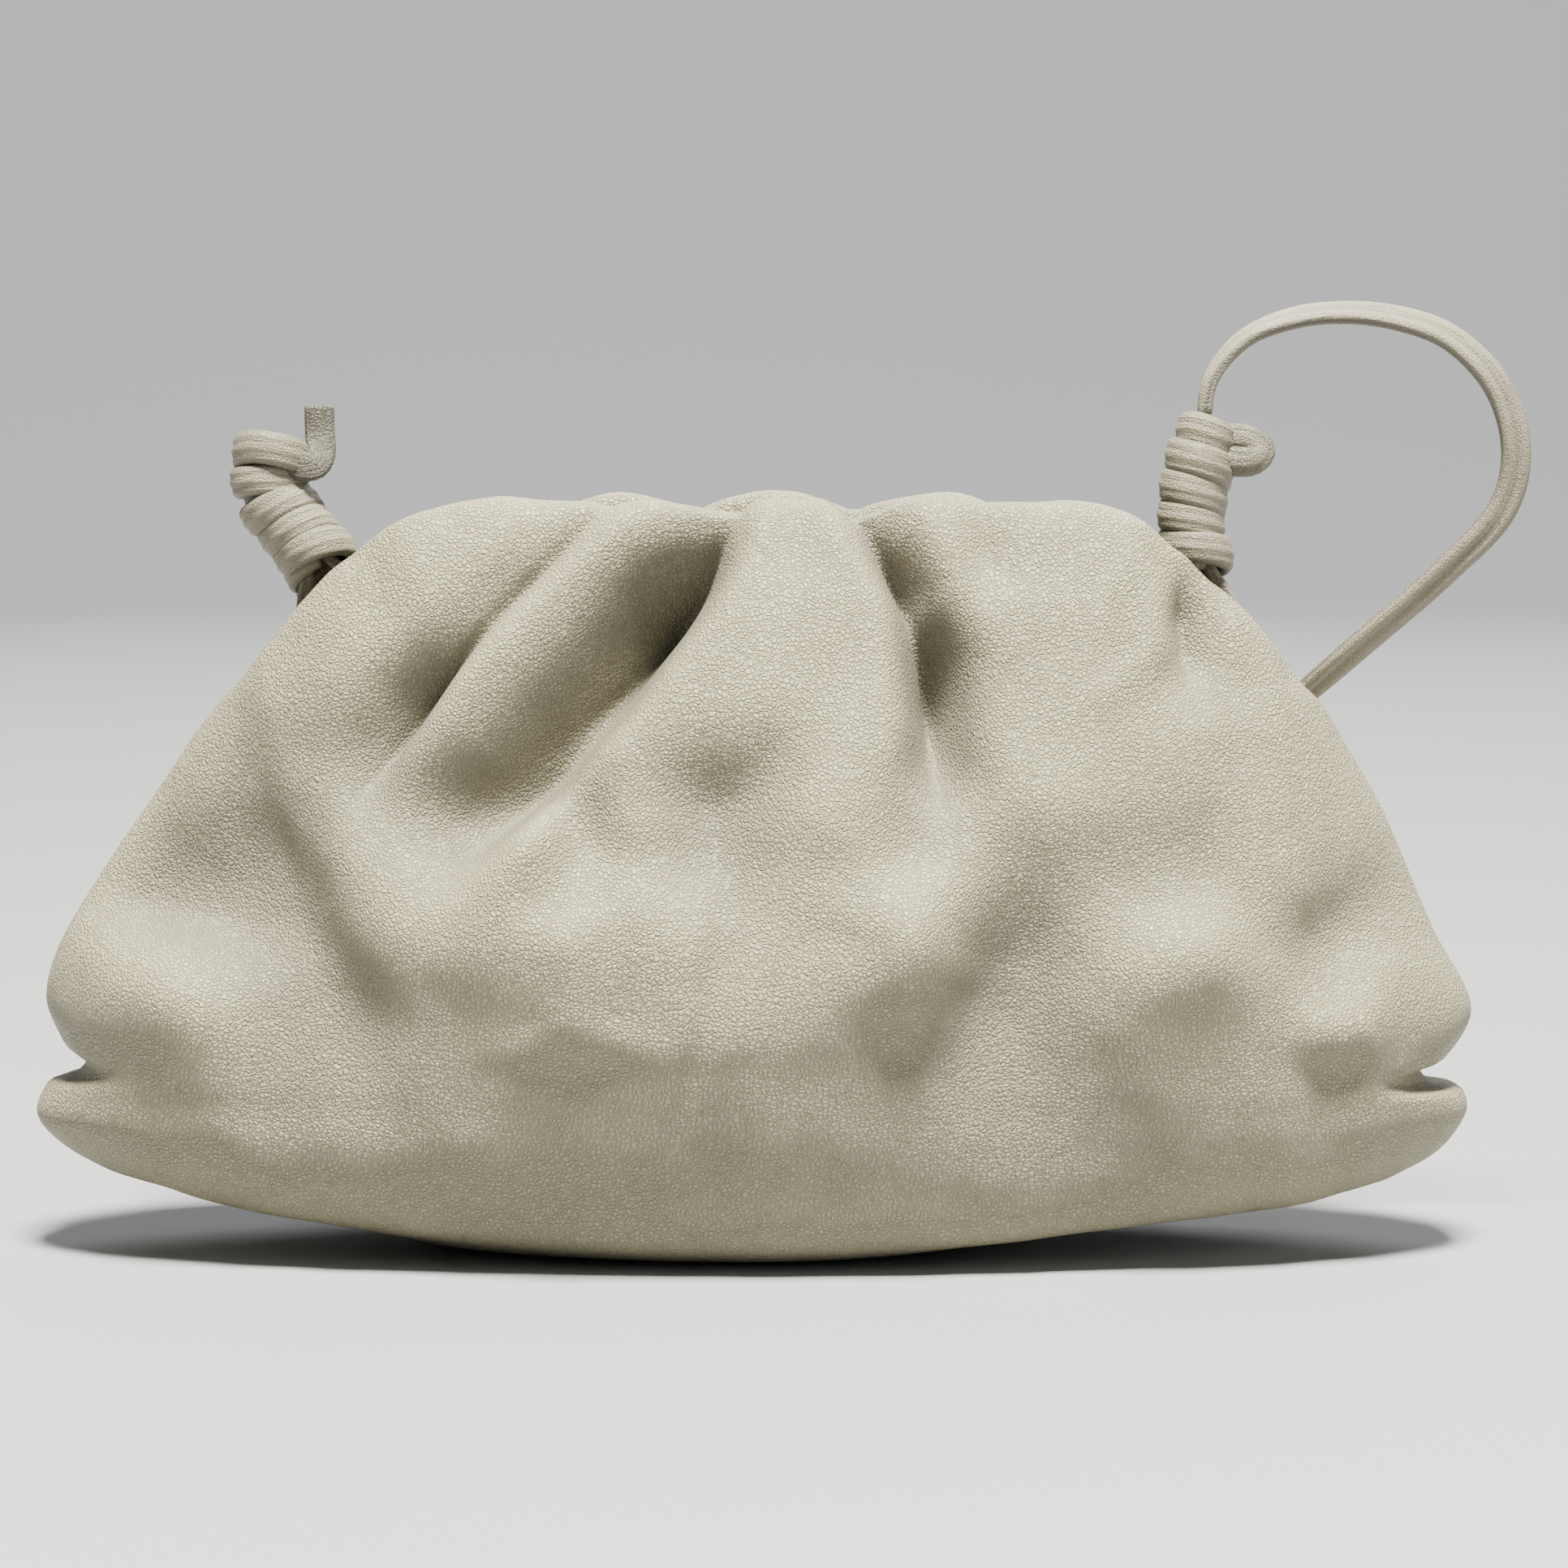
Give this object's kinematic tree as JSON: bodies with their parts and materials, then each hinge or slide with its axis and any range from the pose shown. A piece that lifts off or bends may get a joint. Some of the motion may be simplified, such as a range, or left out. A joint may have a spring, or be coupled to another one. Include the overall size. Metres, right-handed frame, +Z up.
{
  "type": "leather pouch bag with a knotted shoulder strap",
  "caption": "Small gathered leather pouch bag, an open hollow sack on a flattened base, with a thin flat strap knotted on at both ends of its mouth.",
  "frame": {"origin": "on the floor under the middle of the sack, at the bottom centre of its box without the strap", "axes": "+X to the right as seen from the front, along the sack's width; +Y to the back; +Z up"},
  "size_m": [0.2292, 0.1674, 0.1451],
  "materials": {
    "sack_leather": "soft pebbled nappa, satin",
    "strap_leather": "smooth nappa strap, satin",
    "pin_steel": "plain brushed"
  },
  "bodies": {
    "root": {"pouch": "sack_leather", "knot_left": "strap_leather", "knot_right": "strap_leather", "eye_left": "strap_leather", "eye_right": "strap_leather", "tail_left": "strap_leather", "tail_right": "strap_leather", "strap": "strap_leather", "pin_left": "pin_steel", "pin_right": "pin_steel"}
  },
  "joints": []
}
